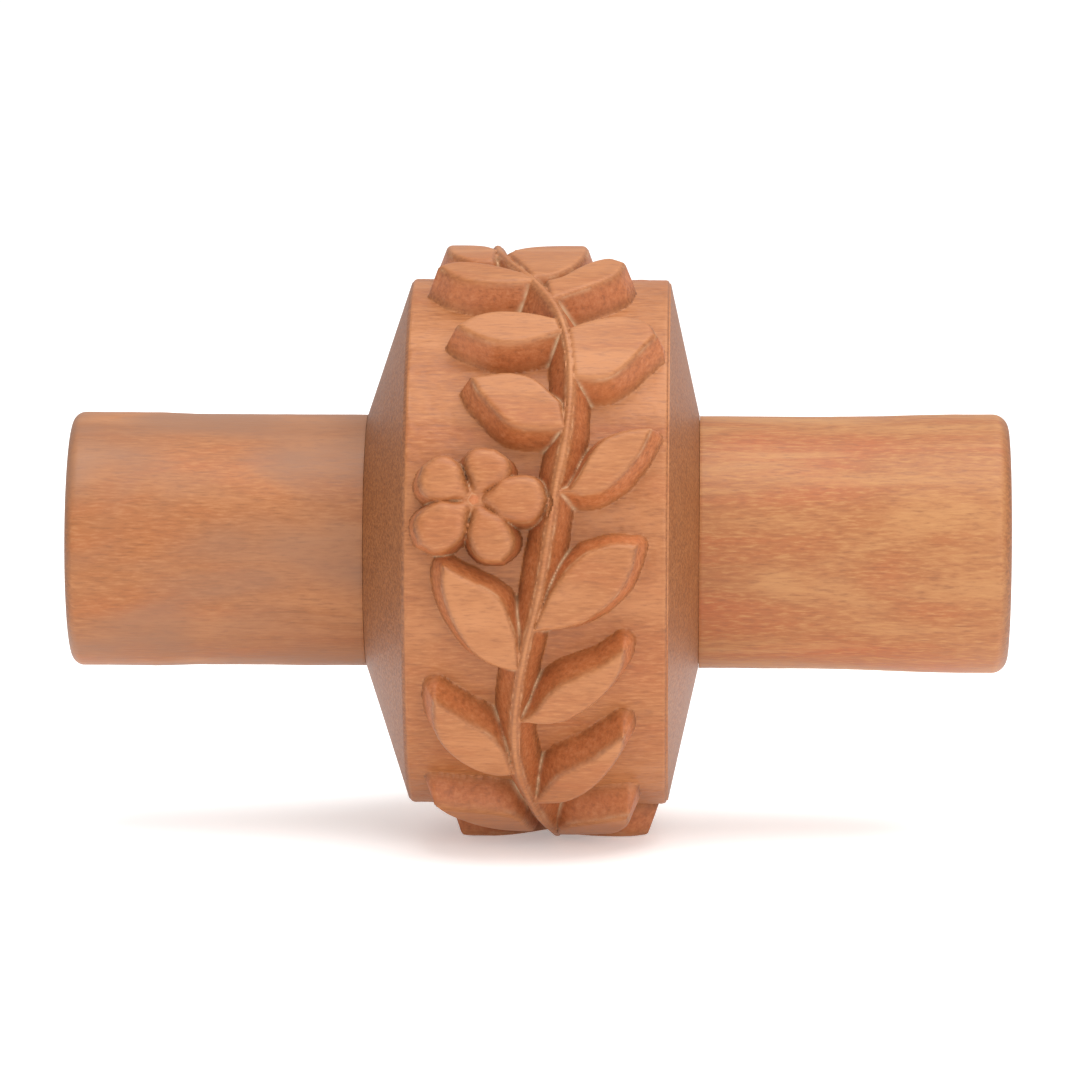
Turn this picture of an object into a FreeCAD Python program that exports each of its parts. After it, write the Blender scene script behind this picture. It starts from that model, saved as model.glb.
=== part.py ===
# Textured pattern roller: a hardwood wheel with a vine in relief round its rim, turning on a
# steel spindle between two turned grips.
#
# Axes: X along the spindle (left grip at -X), Z up, -Y towards the person using it.
# Angles round the wheel are measured from the front (-Y) upwards, so 90 is the top (+Z).
# Lengths are millimetres.

import FreeCAD, Part
import os, math
from FreeCAD import Vector, Rotation, Placement

os.makedirs("parts", exist_ok=True)
doc = FreeCAD.newDocument("pattern_roller")

# ---------------------------------------------------------------- driving sizes
sheet = doc.addObject("Spreadsheet::Sheet", "Sizes")
SIZES = [
    ("half_long", 35.1, "centre of the band to either grip's end face"),
    ("ground_rad", 19.65, "band surface between the raised leaves"),
    ("relief_rad", 22.2, "tops of the raised leaves, the surface that rolls"),
    ("hollow_rad", 67.3, "radius of the three shallow hollows across the relief at rest"),
    ("hollow_far", 89.34, "axis of the wheel to the axis of each hollow"),
    ("band_left", 9.55, "centre to the band's left corner"),
    ("band_right", 9.65, "centre to the band's right corner"),
    ("waist_left", 12.93, "centre to the foot of the left shoulder"),
    ("waist_right", 11.95, "centre to the foot of the right shoulder"),
    ("waist_rad", 9.44, "shoulder foot, where the grip starts"),
    ("band_round", 0.35, "softened corner of the band"),
    ("bore_rad", 3.225, "through-bore of the wheel, running on the spindle"),
    ("rod_rad", 3.175, "spindle, a quarter-inch rod"),
    ("rod_half", 28.0, "half the spindle's length"),
    ("rod_chamfer", 0.5, "chamfered ends of the spindle"),
    ("end_play", 0.06, "side play between the wheel and each grip"),
    ("seat_rad", 9.15, "outer edge of the coned seat inside each joint line"),
    ("boss_rad", 8.35, "end face of the wheel's boss, at the bottom of that seat"),
    ("boss_long", 0.8, "how far each boss stands into its grip"),
    ("socket_gap", 0.6, "air behind the spindle in each blind socket"),
    ("left_rad", 9.44, "left grip next to the wheel"),
    ("left_end_rad", 9.53, "left grip at its end"),
    ("left_mid", 25.2, "centre to where the left grip starts to swell"),
    ("left_full", 29.0, "centre to where the left grip is fully swollen"),
    ("left_round", 0.9, "rounded end of the left grip"),
    ("right_rad", 9.47, "right grip next to the wheel"),
    ("right_end_rad", 9.71, "right grip at its end"),
    ("right_mid", 21.0, "centre to where the right grip starts to swell"),
    ("right_full", 32.0, "centre to where the right grip is fully swollen"),
    ("right_round", 1.2, "rounded end of the right grip"),
    ("arris", 0.05, "broken edge each side of the joint lines"),
    ("stem_foot_rad", 19.1, "buried foot of the vine's stem"),
    ("leaf_foot", 18.85, "height of the buried plane that each leaf stands on"),
    ("leaf_head", 22.25, "height of the plane that each leaf is drawn on"),
]
for i, (alias, value, why) in enumerate(SIZES, start=1):
    sheet.set("A%d" % i, alias)
    sheet.set("B%d" % i, str(value))
    sheet.set("C%d" % i, why)
    sheet.setAlias("B%d" % i, alias)
doc.recompute()
size = {alias: value for alias, value, _ in SIZES}


def plane_of(body, role):
    for f in body.Origin.OriginFeatures:
        if f.Role == role:
            return f
    raise RuntimeError(role)


def turned_body(name, points):
    """A PartDesign body turned about X from a closed profile. Each point is (x, r), an
    expression or 0 for a point on the face plane or on the axis."""
    body = doc.addObject("PartDesign::Body", name)
    sk = body.newObject("Sketcher::SketchObject", name + "_profile")
    sk.AttachmentSupport = [(plane_of(body, "XZ_Plane"), "")]
    sk.MapMode = "FlatFace"

    def number(e):
        if e == 0:
            return 0.0
        return float(sheet_value(e))
    n = len(points)
    co = [Vector(number(a), number(b), 0) for a, b in points]
    for i in range(n):
        sk.addGeometry(Part.LineSegment(co[i], co[(i + 1) % n]), False)
    import Sketcher
    for i in range(n):
        sk.addConstraint(Sketcher.Constraint("Coincident", i, 2, (i + 1) % n, 1))
    for i, (a, b) in enumerate(points):
        if a == 0:
            sk.addConstraint(Sketcher.Constraint("PointOnObject", i, 1, -2))
        else:
            k = sk.addConstraint(Sketcher.Constraint("DistanceX", -1, 1, i, 1, co[i].x))
            sk.setExpression("Constraints[%d]" % k, a)
        if b == 0:
            sk.addConstraint(Sketcher.Constraint("PointOnObject", i, 1, -1))
        else:
            k = sk.addConstraint(Sketcher.Constraint("DistanceY", -1, 1, i, 1, co[i].y))
            sk.setExpression("Constraints[%d]" % k, b)
    rev = body.newObject("PartDesign::Revolution", name + "_turning")
    rev.Profile = sk
    rev.ReferenceAxis = (sk, ["H_Axis"])
    rev.Angle = 360.0
    sk.Visibility = False
    doc.recompute()
    return body, rev


def sheet_value(expression):
    """The number an expression of Sizes.* terms joined by + and - stands for."""
    total = 0.0
    for term in expression.replace("-", "+-").replace("mm", "").split("+"):
        term = term.strip()
        if not term:
            continue
        sign = -1.0 if term.startswith("-") else 1.0
        term = term.lstrip("- ")
        total += sign * (size[term[6:]] if term.startswith("Sizes.") else float(term))
    return total


def ring_edges(shape, x, r):
    """Names of the circular edges at station x with radius r."""
    found = []
    for i, e in enumerate(shape.Edges, start=1):
        b = e.BoundBox
        if abs(b.XMin - x) < 1e-3 and abs(b.XMax - x) < 1e-3 and abs(b.ZMax - r) < 1e-3:
            found.append("Edge%d" % i)
    return found


def dress(body, kind, name, rings, attr, expression):
    """A fillet or chamfer on the rings at (x, r) of the body's tip."""
    base = body.Tip
    edges = []
    for x, r in rings:
        edges += ring_edges(base.Shape, x, r)
    if not edges:
        raise RuntimeError("no edges for " + name)
    f = body.newObject(kind, name)
    f.Base = (base, edges)
    f.setExpression(attr, expression)
    doc.recompute()
    return f


# ---------------------------------------------------------------- spindle
spindle = doc.addObject("PartDesign::Body", "spindle")
sk = spindle.newObject("Sketcher::SketchObject", "spindle_section")
sk.AttachmentSupport = [(plane_of(spindle, "YZ_Plane"), "")]
sk.MapMode = "FlatFace"
import Sketcher
sk.addGeometry(Part.Circle(Vector(0, 0, 0), Vector(0, 0, 1), size["rod_rad"]), False)
sk.addConstraint(Sketcher.Constraint("Coincident", 0, 3, -1, 1))
k = sk.addConstraint(Sketcher.Constraint("Radius", 0, size["rod_rad"]))
sk.setExpression("Constraints[%d]" % k, "Sizes.rod_rad")
pad = spindle.newObject("PartDesign::Pad", "spindle_rod")
pad.Profile = sk
pad.setExpression("Length", "2*Sizes.rod_half")
pad.Midplane = True
sk.Visibility = False
doc.recompute()
dress(spindle, "PartDesign::Chamfer", "spindle_ends",
      [(-size["rod_half"], size["rod_rad"]), (size["rod_half"], size["rod_rad"])],
      "Size", "Sizes.rod_chamfer")
spindle.Label = "spindle"

# ---------------------------------------------------------------- grips
# Each grip is drawn pointing to +X with its mouth towards the wheel; the left one is turned round.


def grip(name, side):
    waist, rad, end_rad = "Sizes.waist_" + side, "Sizes." + side + "_rad", "Sizes." + side + "_end_rad"
    points = [
        (waist + "+Sizes.end_play+Sizes.boss_long", "Sizes.rod_rad"),
        (waist + "+Sizes.end_play+Sizes.boss_long", "Sizes.boss_rad"),
        (waist + "+Sizes.end_play", "Sizes.seat_rad"),
        (waist + "+Sizes.end_play", rad),
        ("Sizes." + side + "_mid", rad),
        ("Sizes." + side + "_full", end_rad),
        ("Sizes.half_long", end_rad),
        ("Sizes.half_long", 0),
        ("Sizes.rod_half+Sizes.socket_gap", 0),
        ("Sizes.rod_half+Sizes.socket_gap", "Sizes.rod_rad"),
    ]
    body, rev = turned_body(name, points)
    mouth = size["waist_" + side] + size["end_play"]
    dress(body, "PartDesign::Fillet", name + "_end", [(size["half_long"], size[side + "_end_rad"])],
          "Radius", "Sizes." + side + "_round")
    dress(body, "PartDesign::Chamfer", name + "_arris", [(mouth, size[side + "_rad"])],
          "Size", "Sizes.arris")
    body.Label = name
    return body


handle_right = grip("handle_right", "right")
handle_left = grip("handle_left", "left")
handle_left.Placement = Placement(Vector(0, 0, 0), Rotation(Vector(0, 0, 1), 180))

# ---------------------------------------------------------------- wheel blank
# Drawn from the end of its left boss, so that every station is positive. Each shoulder ends in a
# narrow face and a coned boss that stands into the grip.
foot = "Sizes.boss_long"
blank, _ = turned_body("wheel_blank", [
    (0, "Sizes.bore_rad"),
    (0, "Sizes.boss_rad"),
    (foot, "Sizes.seat_rad"),
    (foot, "Sizes.waist_rad"),
    (foot + "+Sizes.waist_left-Sizes.band_left", "Sizes.ground_rad"),
    (foot + "+Sizes.waist_left+Sizes.band_right", "Sizes.ground_rad"),
    (foot + "+Sizes.waist_left+Sizes.waist_right", "Sizes.waist_rad"),
    (foot + "+Sizes.waist_left+Sizes.waist_right", "Sizes.seat_rad"),
    (foot + "+Sizes.waist_left+Sizes.waist_right+Sizes.boss_long", "Sizes.boss_rad"),
    (foot + "+Sizes.waist_left+Sizes.waist_right+Sizes.boss_long", "Sizes.bore_rad"),
])
w_l, w_r = size["boss_long"] + size["waist_left"], size["waist_right"]
dress(blank, "PartDesign::Fillet", "wheel_band_corners",
      [(w_l - size["band_left"], size["ground_rad"]), (w_l + size["band_right"], size["ground_rad"])],
      "Radius", "Sizes.band_round")
dress(blank, "PartDesign::Chamfer", "wheel_feet",
      [(size["boss_long"], size["waist_rad"]), (w_l + w_r, size["waist_rad"])],
      "Size", "Sizes.arris")
blank.setExpression(".Placement.Base.x", "-Sizes.waist_left-Sizes.boss_long")
blank.Label = "wheel_blank"

# ---------------------------------------------------------------- relief drawing
# The relief is drawn unrolled: (x, angle). TURN is how far the drawing's zero sits above the front.
TURN = 7.0
PER_DEG = math.pi / 180.0 * size["relief_rad"]      # mm of rim per degree, at the leaf tops
RISE = size["relief_rad"] - size["ground_rad"]

# name: (upper edge from the stem outwards, lower edge from the stem outwards, tip)
LEAVES = {
    "leaf_r01": ([(-2.4, 75.5), (-1.6, 80.0), (-0.2, 84.0), (1.6, 87.0)],
                 [(-0.4, 62.0), (1.0, 62.8), (2.3, 66.0), (3.0, 70.0), (3.4, 75.0), (3.5, 80.5)], (3.4, 87.5)),
    "leaf_r02": ([(0.6, 60.5), (1.8, 62.4), (2.9, 66.4), (4.1, 70.2), (5.2, 71.8)],
                 [(1.0, 53.5), (2.0, 55.0), (2.8, 56.4), (4.1, 58.9), (5.0, 60.9), (5.9, 64.0)], (6.3, 69.4)),
    "leaf_r03": ([(2.3, 44.8), (3.4, 46.4), (4.6, 47.6), (5.9, 48.3), (7.2, 47.7), (8.2, 46.0)],
                 [(2.8, 32.6), (4.1, 32.4), (5.2, 32.8), (6.0, 34.2), (6.8, 36.4), (7.5, 38.9), (8.1, 41.2)], (8.7, 43.3)),
    "leaf_r04": ([(2.6, 9.8), (3.3, 12.6), (4.1, 16.6), (4.9, 19.2), (6.0, 20.8), (7.3, 21.6)],
                 [(1.6, 9.4), (2.8, 9.2), (4.1, 9.0), (5.2, 10.0), (6.2, 12.3), (7.0, 14.8), (7.7, 17.5)], (8.4, 21.7)),
    "leaf_r05": ([(1.2, -10.2), (2.0, -7.0), (2.8, -4.5), (3.8, -2.4), (4.9, -1.2), (6.1, -0.6)],
                 [(0.0, -17.1), (1.0, -16.8), (2.1, -16.5), (3.3, -15.6), (4.5, -13.8), (5.6, -11.2), (6.5, -8.2), (7.1, -4.7)], (7.4, -0.9)),
    "leaf_r06": ([(0.1, -34.6), (1.0, -31.0), (2.0, -28.4), (3.4, -26.4), (4.8, -24.6), (5.8, -22.6)],
                 [(-0.9, -36.8), (0.1, -37.1), (1.3, -37.1), (2.3, -36.4), (3.4, -34.4), (4.3, -32.4), (5.1, -30.2), (5.9, -27.2), (6.4, -24.0)], (6.5, -21.2)),
    "leaf_r07": ([(0.2, -59.7), (0.9, -55.8), (1.7, -51.9), (2.8, -49.2), (4.2, -46.6), (5.3, -43.6)],
                 [(-0.3, -61.0), (0.7, -61.3), (2.0, -60.8), (3.0, -59.0), (3.9, -56.4), (4.6, -53.6), (5.3, -50.2), (5.9, -47.0), (6.4, -43.6)], (6.5, -40.4)),
    "leaf_r08": ([(1.7, -75.5), (2.4, -73.3), (3.4, -71.6), (4.6, -70.2), (5.6, -68.8)],
                 [(1.2, -86.0), (2.4, -86.5), (3.8, -85.0), (5.1, -82.0), (6.2, -77.5), (6.8, -72.0)], (6.8, -67.4)),
    "leaf_r09": ([(1.2, -97.2), (2.4, -93.4), (3.8, -91.4), (5.4, -90.4), (7.0, -90.8)],
                 [(1.0, -107.2), (2.4, -108.2), (4.0, -107.4), (5.6, -105.2), (6.9, -101.8), (7.8, -97.8)], (8.2, -93.4)),
    "leaf_l01": ([(-3.3, 79.5), (-4.0, 84.0), (-5.0, 87.2), (-6.0, 88.6)],
                 [(-3.4, 70.0), (-4.2, 69.6), (-5.4, 70.6), (-6.4, 74.0), (-6.9, 79.0)], (-7.0, 86.5)),
    "leaf_l02": ([(-1.2, 63.8), (-2.2, 65.6), (-3.2, 67.2), (-4.4, 68.6), (-5.6, 69.2), (-6.6, 68.8)],
                 [(-0.2, 60.6), (-1.2, 60.0), (-2.6, 59.7), (-4.0, 59.8), (-5.2, 60.6), (-6.3, 62.4)], (-7.4, 66.6)),
    "leaf_l03": ([(1.4, 47.6), (0.2, 48.7), (-1.0, 49.4), (-2.6, 49.7), (-3.8, 49.1), (-4.8, 47.8)],
                 [(1.8, 44.2), (1.0, 43.1), (0.0, 42.0), (-1.0, 41.2), (-2.0, 40.9), (-3.0, 41.2), (-4.0, 42.2), (-4.9, 43.6)], (-5.8, 45.6)),
    "leaf_l04": ([(1.8, 27.2), (1.0, 29.4), (0.1, 31.8), (-1.0, 33.2), (-2.2, 33.6), (-3.4, 33.2)],
                 [(2.2, 21.6), (0.8, 21.4), (-0.8, 21.6), (-1.9, 22.6), (-2.8, 25.0), (-3.6, 27.6), (-4.2, 29.8)], (-4.7, 32.6)),
    "leaf_l05": ([(-1.3, -18.6), (-1.7, -15.5), (-2.1, -12.5), (-2.8, -10.3), (-3.9, -8.6), (-5.1, -7.0)],
                 [(-1.1, -25.2), (-2.4, -24.6), (-3.6, -23.1), (-4.6, -20.8), (-5.4, -17.6), (-6.0, -14.2), (-6.4, -11.0), (-6.6, -8.0)], (-6.5, -4.9)),
    "leaf_l06": ([(-1.9, -47.5), (-2.2, -44.6), (-2.9, -41.4), (-3.9, -38.9), (-5.0, -36.8), (-6.1, -34.6)],
                 [(-1.6, -51.2), (-2.7, -51.4), (-4.0, -50.2), (-5.0, -48.2), (-6.0, -45.4), (-6.8, -42.0), (-7.2, -38.4), (-7.3, -35.2)], (-7.2, -32.2)),
    "leaf_l07": ([(-1.0, -69.6), (-1.7, -67.2), (-2.8, -65.6), (-4.2, -64.6), (-5.6, -63.9)],
                 [(-0.2, -78.0), (-1.4, -77.8), (-2.8, -76.5), (-4.2, -73.6), (-5.4, -70.2), (-6.5, -66.8)], (-7.4, -62.8)),
}

# The far side carries on in the same way: (name, side, base x, base angle, length, climb, width)
FAR = [
    ("leaf_r10", 1, 1.6, -131.0, 6.0, 15.5, 13.0),
    ("leaf_r11", 1, 2.4, -153.0, 5.6, 16.0, 12.5),
    ("leaf_r12", 1, -0.2, -219.0, 6.6, 15.0, 12.5),
    ("leaf_r13", 1, -1.5, -240.5, 6.6, 14.5, 12.5),
    ("leaf_r14", 1, -2.6, -260.5, 7.0, 13.0, 12.0),
    ("leaf_l08", -1, 1.3, -103.0, 7.0, 14.0, 12.5),
    ("leaf_l09", -1, 1.6, -125.5, 6.6, 15.0, 12.5),
    ("leaf_l10", -1, 2.2, -147.5, 6.8, 15.5, 12.5),
    ("leaf_l11", -1, 2.6, -169.5, 6.6, 15.0, 12.0),
    ("leaf_l12", -1, 2.4, -191.5, 6.8, 15.5, 12.5),
    ("leaf_l13", -1, 0.6, -213.5, 6.2, 15.0, 12.5),
    ("leaf_l14", -1, -1.2, -235.0, 5.6, 14.0, 12.0),
    ("leaf_l15", -1, -2.6, -255.5, 5.0, 12.0, 11.0),
]


def far_leaf(side, bx, bp, length, climb, width):
    upper, lower = [], []
    for s in (0.06, 0.24, 0.42, 0.6, 0.76, 0.9):
        x = bx + side * length * s
        mid = bp + climb * (s ** 1.15)
        half = 0.5 * width * (math.sin(math.pi * min(1.0, 0.12 + 0.88 * s) ** 1.0) ** 0.8)
        upper.append((x, mid + 0.85 * half))
        lower.append((x, mid - 1.0 * half))
    return upper, lower, (bx + side * length, bp + climb)


for name, side, bx, bp, length, climb, width in FAR:
    LEAVES[name] = far_leaf(side, bx, bp, length, climb, width)

# Stem centre line: (angle, x), once round the wheel
STEM = [(80, -3.1), (70, -2.2), (60, -0.2), (50, 1.5), (40, 2.35), (30, 2.55), (20, 2.25), (10, 1.55),
        (0, 1.0), (-10, 0.4), (-20, -0.5), (-30, -1.15), (-40, -1.45), (-50, -1.2), (-60, -0.4),
        (-70, 0.4), (-80, 1.3), (-90, 1.45), (-105, 1.3), (-120, 1.6), (-135, 2.1), (-150, 2.55),
        (-165, 2.7), (-180, 2.5), (-195, 1.9), (-210, 0.8), (-225, -0.5), (-240, -1.8), (-255, -2.8),
        (-268, -3.25)]

# Flowers: centre (x, angle) and five petals as (direction in degrees, length in mm, half width)
FLOWERS = [
    ("flower_front", -4.35, 7.9, [(147, 4.35, 1.55), (69, 3.95, 1.6), (1, 5.2, 1.6), (-66, 4.9, 1.45), (-140, 5.0, 1.6)]),
    ("flower_far", 5.0, -186.0, [(33, 4.2, 1.5), (108, 4.2, 1.55), (180, 4.6, 1.5), (-108, 4.4, 1.5), (-36, 4.2, 1.5)]),
]


def offset_loop(points, amount):
    """A closed (x, v) loop moved outwards by amount, corner by corner."""
    n = len(points)
    area = sum(points[i][0] * points[(i + 1) % n][1] - points[(i + 1) % n][0] * points[i][1] for i in range(n))
    sgn = 1.0 if area > 0 else -1.0
    out = []
    for i in range(n):
        ax, ay = points[i - 1]
        bx, by = points[i]
        cx, cy = points[(i + 1) % n]
        l1 = math.hypot(bx - ax, by - ay)
        l2 = math.hypot(cx - bx, cy - by)
        n1 = (sgn * (by - ay) / l1, -sgn * (bx - ax) / l1)
        n2 = (sgn * (cy - by) / l2, -sgn * (cx - bx) / l2)
        mx, my = n1[0] + n2[0], n1[1] + n2[1]
        ml = math.hypot(mx, my)
        mx, my = mx / ml, my / ml
        c = max(0.55, mx * n1[0] + my * n1[1])
        out.append((bx + mx * amount / c, by + my * amount / c))
    return out


def local_wire(loop, corners, middle, height):
    """The loop laid on a plane at this height above the axis, as splines between its corners."""
    pts = [Vector(x, height * math.tan(v / size["relief_rad"] - math.radians(middle)), 0) for x, v in loop]
    edges = []
    for j in range(len(corners)):
        a, b = corners[j], corners[(j + 1) % len(corners)]
        run = pts[a:b + 1] if b > a else pts[a:] + pts[:b + 1]
        if len(run) == 2:
            edges.append(Part.makeLine(run[0], run[1]))
        else:
            s = Part.BSplineCurve()
            s.interpolate(run)
            edges.append(s.toShape())
    return Part.Wire(edges)


def raised(name, loop, corners, draft):
    """A raised pad: its drawn top outline lofted down to a wider buried foot."""
    middle = sum(v for _, v in loop) / len(loop) / PER_DEG
    theta = math.radians(middle + TURN)
    sections = []
    for tag, alias in (("head", "leaf_head"), ("foot", "leaf_foot")):
        h = size[alias]
        spread = draft * (size["relief_rad"] - h) / RISE
        w = doc.addObject("Part::Feature", name + "_" + tag)
        w.Shape = local_wire(offset_loop(loop, spread), corners, middle, h)
        w.Placement = Placement(Vector(0, -math.cos(theta) * h, math.sin(theta) * h),
                                Rotation(Vector(1, 0, 0), 90.0 - middle - TURN))
        w.setExpression(".Placement.Base.y", "%.9f*Sizes.%s" % (-math.cos(theta), alias))
        w.setExpression(".Placement.Base.z", "%.9f*Sizes.%s" % (math.sin(theta), alias))
        w.Visibility = False
        sections.append(w)
    pad = doc.addObject("Part::Loft", name)
    pad.Sections = sections
    pad.Solid = True
    pad.Ruled = True
    pad.Visibility = False
    return pad


pads = []
for name, (upper, lower, tip) in LEAVES.items():
    flat = [(x, p * PER_DEG) for x, p in list(upper) + [tip] + list(reversed(lower))]
    k_tip = len(upper)
    pads.append(raised(name, flat, [0, k_tip, len(flat) - 1], 0.72))

for name, fx, fp, petals in FLOWERS:
    fv = fp * PER_DEG
    for j, (way, length, half) in enumerate(petals, start=1):
        a = math.radians(way)
        loop = []
        outline = [(0.62, -0.28), (1.3, -0.72), (2.2, -1.12 * half / 1.25), (0.74 * length, -half),
                   (0.91 * length, -0.70 * half), (length, 0.0), (0.91 * length, 0.70 * half),
                   (0.74 * length, half), (2.2, 1.12 * half / 1.25), (1.3, 0.72), (0.62, 0.28)]
        for r, w in outline:
            loop.append((fx + r * math.cos(a) - w * math.sin(a), fv + r * math.sin(a) + w * math.cos(a)))
        pads.append(raised("%s_petal_%d" % (name, j), loop, [0, len(loop) - 1], 0.3))
doc.recompute()

# Stem: one ridge round the wheel, lofted through radial sections
stem_sections = []
STEP = 12
ring = sorted([(p, x) for p, x in STEM])
ring = [(ring[-1][0] - 360.0, ring[-1][1])] + ring + [(ring[0][0] + 360.0, ring[0][1])]
ring = [(ring[-3][0] - 360.0, ring[-3][1])] + ring + [(ring[2][0] + 360.0, ring[2][1])]


def stem_x(p):
    """Smooth stem station at an angle, by a Hermite curve through the drawn points."""
    while p < ring[1][0]:
        p += 360.0
    while p > ring[-2][0]:
        p -= 360.0
    for i in range(1, len(ring) - 2):
        p0, p1 = ring[i][0], ring[i + 1][0]
        if p0 <= p <= p1:
            t = (p - p0) / (p1 - p0)
            m0 = (ring[i + 1][1] - ring[i - 1][1]) / (ring[i + 1][0] - ring[i - 1][0]) * (p1 - p0)
            m1 = (ring[i + 2][1] - ring[i][1]) / (ring[i + 2][0] - ring[i][0]) * (p1 - p0)
            x0, x1 = ring[i][1], ring[i + 1][1]
            return ((2 * t**3 - 3 * t**2 + 1) * x0 + (t**3 - 2 * t**2 + t) * m0
                    + (-2 * t**3 + 3 * t**2) * x1 + (t**3 - t**2) * m1)
    raise RuntimeError("stem")


for i in range(360 // STEP):
    p = i * STEP
    x = stem_x(float(p))
    theta = math.radians(p + TURN)
    lo, hi = size["stem_foot_rad"], size["relief_rad"] + 0.25
    prof = Part.makePolygon([Vector(x - 1.5, lo, 0), Vector(x + 1.5, lo, 0), Vector(x + 0.3, hi, 0),
                             Vector(x - 0.3, hi, 0), Vector(x - 1.5, lo, 0)])
    f = doc.addObject("Part::Feature", "stem_section_%02d" % i)
    f.Shape = prof
    # local y points outwards from the axis
    f.Placement = Placement(Vector(0, 0, 0), Rotation(Vector(1, 0, 0), 180.0 - math.degrees(theta)))
    f.Visibility = False
    stem_sections.append(f)
stem = doc.addObject("Part::Loft", "stem")
stem.Sections = stem_sections
stem.Solid = True
stem.Ruled = False
stem.Closed = True
stem.Visibility = False
doc.recompute()

# ---------------------------------------------------------------- wheel
# Pads join the wheel a few at a time, far apart from each other in each round.


def joined(base, group, name):
    """The base fused with a group of pads, or with one pad at a time where the group won't go."""
    wider = doc.addObject("Part::MultiFuse", name)
    wider.Shapes = [base] + group
    wider.Refine = False
    wider.Visibility = False
    doc.recompute()
    sound = ("Invalid" not in wider.State and not wider.Shape.isNull() and wider.Shape.isValid()
             and len(wider.Shape.Solids) == 1 and wider.Shape.Volume > base.Shape.Volume)
    if sound:
        return wider
    if len(group) == 1:
        raise RuntimeError("can't join " + group[0].Name)
    doc.removeObject(name)
    for pad in group:
        base = joined(base, [pad], "wheel_with_" + pad.Name)
    return base


grown = joined(blank, [stem], "wheel_with_stem")
ROUNDS = 10
for j in range(ROUNDS):
    group = pads[j::ROUNDS]
    if group:
        grown = joined(grown, group, "wheel_round_%02d" % (j + 1))
envelope = doc.addObject("Part::Cylinder", "rolling_envelope")
envelope.setExpression("Radius", "Sizes.relief_rad")
envelope.setExpression("Height", "2*Sizes.half_long")
envelope.Placement = Placement(Vector(-size["half_long"], 0, 0), Rotation(Vector(0, 1, 0), 90))
envelope.setExpression(".Placement.Base.x", "-Sizes.half_long")
# Three hollows side by side, 0.16 mm deep and 12 degrees wide each, cross the relief where the
# wheel rests. It stands still on the two ridges between them.
HOLLOW_AT = (-102.0, -90.0, -78.0)
rolling = envelope
for j, at in enumerate(HOLLOW_AT, start=1):
    way = math.radians(at)
    hollow = doc.addObject("Part::Cylinder", "rest_hollow_%d" % j)
    hollow.setExpression("Radius", "Sizes.hollow_rad")
    hollow.setExpression("Height", "2*Sizes.half_long+2")
    hollow.Placement = Placement(Vector(-size["half_long"] - 1.0, 0, 0), Rotation(Vector(0, 1, 0), 90))
    hollow.setExpression(".Placement.Base.x", "-Sizes.half_long-1")
    hollow.setExpression(".Placement.Base.y", "%.9f*Sizes.hollow_far" % (-math.cos(way)))
    hollow.setExpression(".Placement.Base.z", "%.9f*Sizes.hollow_far" % math.sin(way))
    cut = doc.addObject("Part::Cut", "rolling_surface_%d" % j)
    cut.Base = rolling
    cut.Tool = hollow
    rolling = cut
wheel = doc.addObject("Part::Common", "pattern_wheel")
wheel.Base = grown
wheel.Tool = rolling
wheel.Refine = False
wheel.Label = "pattern_wheel"
doc.recompute()

# ---------------------------------------------------------------- checks and files
for o in doc.Objects:
    if "Invalid" in o.State or "Error" in o.State:
        raise RuntimeError("%s: %s" % (o.Name, o.State))
for o in [o for o in doc.Objects if hasattr(o, "Shape")]:
    if o.TypeId.startswith("App::") or o.TypeId.startswith("Sketcher::"):
        continue
    if o.Shape.isNull() or not o.Shape.isValid():
        raise RuntimeError("bad shape: " + o.Name)

for node in (wheel, spindle, handle_left, handle_right):
    s = node.Shape
    if len(s.Solids) != 1:
        raise RuntimeError("%s holds %d solids" % (node.Label, len(s.Solids)))
    s.exportStep("parts/%s.step" % node.Label)
    b = s.BoundBox
    print("%-14s X %.2f..%.2f Y %.2f..%.2f Z %.2f..%.2f volume %.1f faces %d" % (
        node.Label, b.XMin, b.XMax, b.YMin, b.YMax, b.ZMin, b.ZMax, s.Volume, len(s.Faces)))
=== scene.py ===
# Textured pattern roller: the looks. Metres, in the row frame: X along the spindle, Z up, -Y to the front.
import math
import numpy as np
import bpy
from mathutils import Vector, Matrix


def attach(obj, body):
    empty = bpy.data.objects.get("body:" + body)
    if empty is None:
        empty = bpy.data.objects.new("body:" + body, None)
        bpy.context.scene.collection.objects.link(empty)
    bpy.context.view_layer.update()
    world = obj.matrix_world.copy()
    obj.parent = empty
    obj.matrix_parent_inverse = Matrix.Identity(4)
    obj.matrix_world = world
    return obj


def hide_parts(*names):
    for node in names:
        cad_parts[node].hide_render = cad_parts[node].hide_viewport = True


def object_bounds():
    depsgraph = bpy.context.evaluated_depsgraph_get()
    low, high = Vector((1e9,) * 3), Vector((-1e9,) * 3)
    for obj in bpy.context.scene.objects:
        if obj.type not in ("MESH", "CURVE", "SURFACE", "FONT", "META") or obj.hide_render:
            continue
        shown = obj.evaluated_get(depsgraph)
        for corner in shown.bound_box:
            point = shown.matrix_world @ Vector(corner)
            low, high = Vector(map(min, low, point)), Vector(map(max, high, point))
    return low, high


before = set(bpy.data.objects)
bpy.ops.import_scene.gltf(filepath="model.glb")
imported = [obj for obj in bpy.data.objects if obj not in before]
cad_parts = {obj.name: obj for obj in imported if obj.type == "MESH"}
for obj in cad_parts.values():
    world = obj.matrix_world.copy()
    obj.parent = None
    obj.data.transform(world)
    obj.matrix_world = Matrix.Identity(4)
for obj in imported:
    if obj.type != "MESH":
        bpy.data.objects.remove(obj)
CAD_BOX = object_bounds()
MM = 0.001

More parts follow.
